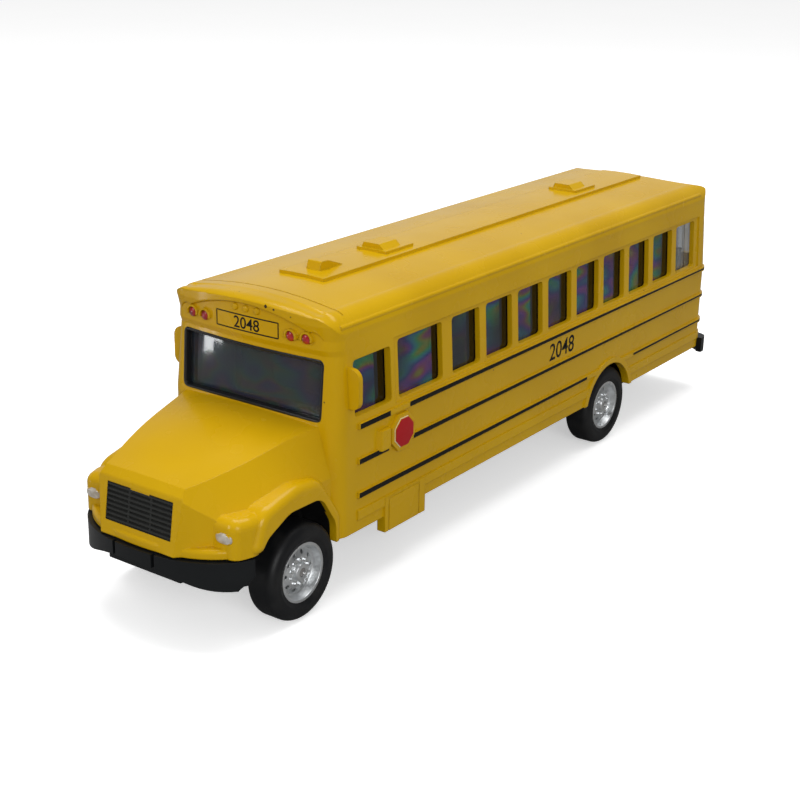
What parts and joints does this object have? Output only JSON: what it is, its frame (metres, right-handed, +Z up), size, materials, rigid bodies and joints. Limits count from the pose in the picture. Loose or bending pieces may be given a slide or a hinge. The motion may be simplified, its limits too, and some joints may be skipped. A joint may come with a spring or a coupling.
{
  "type": "toy bus",
  "caption": "Toy bus with a long nose: cast shell, glazed windows, moulded base, spinning wheels, pull-back motor and a hinged entry door.",
  "frame": {"origin": "on the ground under the middle of the bus", "axes": "+X to the front of the bus, +Y to its left side, +Z up"},
  "size_m": [0.216, 0.052, 0.0669],
  "materials": {
    "yellow_paint": "glossy enamel",
    "clear_glazing": "clear moulded plastic",
    "seat_plastic": "dark moulded plastic",
    "black_plastic": "semi-gloss moulded plastic",
    "motor_plastic": "satin",
    "steel": "drawn wire",
    "screw_steel": "plated",
    "brass_gear": "turned",
    "white_gear": "moulded",
    "spring_steel": "blued strip",
    "tyre_rubber": "smooth rubber",
    "bright_rim": "bright plated plastic"
  },
  "bodies": {
    "bus": {"body_shell": "yellow_paint", "window_glazing": "clear_glazing", "interior_seats": "seat_plastic", "chassis_base": "black_plastic", "motor_case_left": "motor_plastic", "motor_case_right": "motor_plastic", "compound_shaft": "steel", "drum_shaft": "steel", "chassis_screws": "screw_steel", "motor_screws": "screw_steel"},
    "door": {"entry_door": "yellow_paint", "door_glazing": "clear_glazing"},
    "front_wheelset": {"front_axle": "steel", "front_left_tyre": "tyre_rubber", "front_left_rim": "bright_rim", "front_right_tyre": "tyre_rubber", "front_right_rim": "bright_rim"},
    "rear_wheelset": {"rear_axle": "steel", "axle_pinion": "brass_gear", "rear_left_tyre": "tyre_rubber", "rear_left_rim": "bright_rim", "rear_right_tyre": "tyre_rubber", "rear_right_rim": "bright_rim"},
    "compound": {"compound_gear": "white_gear"},
    "drum": {"spring_drum": "white_gear", "mainspring": "spring_steel"}
  },
  "joints": [
    {"name": "front_axle_spin", "type": "hinge", "parent": "bus", "child": "front_wheelset", "pos_m": [0.08176, 0, 0.01065], "axis": [0, 1, 0], "continuous": true},
    {"name": "rear_axle_spin", "type": "hinge", "parent": "bus", "child": "rear_wheelset", "pos_m": [-0.0475, 0, 0.01065], "axis": [0, 1, 0], "continuous": true},
    {"name": "compound_gear_spin", "type": "hinge", "parent": "bus", "child": "compound", "pos_m": [-0.04234, 0, 0.01802], "axis": [0, 1, 0], "continuous": true},
    {"name": "spring_drum_spin", "type": "hinge", "parent": "bus", "child": "drum", "pos_m": [-0.03388, 0, 0.01494], "axis": [0, 1, 0], "continuous": true},
    {"name": "entry_door_swing", "type": "hinge", "parent": "bus", "child": "door", "pos_m": [0.0646, -0.0232, 0.027], "axis": [0, 0, 1], "range_deg": [0, 75]}
  ],
  "couplings": [
    {"joint": "compound_gear_spin", "follows": "rear_axle_spin", "ratio": -0.33333},
    {"joint": "spring_drum_spin", "follows": "rear_axle_spin", "ratio": 0.11111}
  ]
}
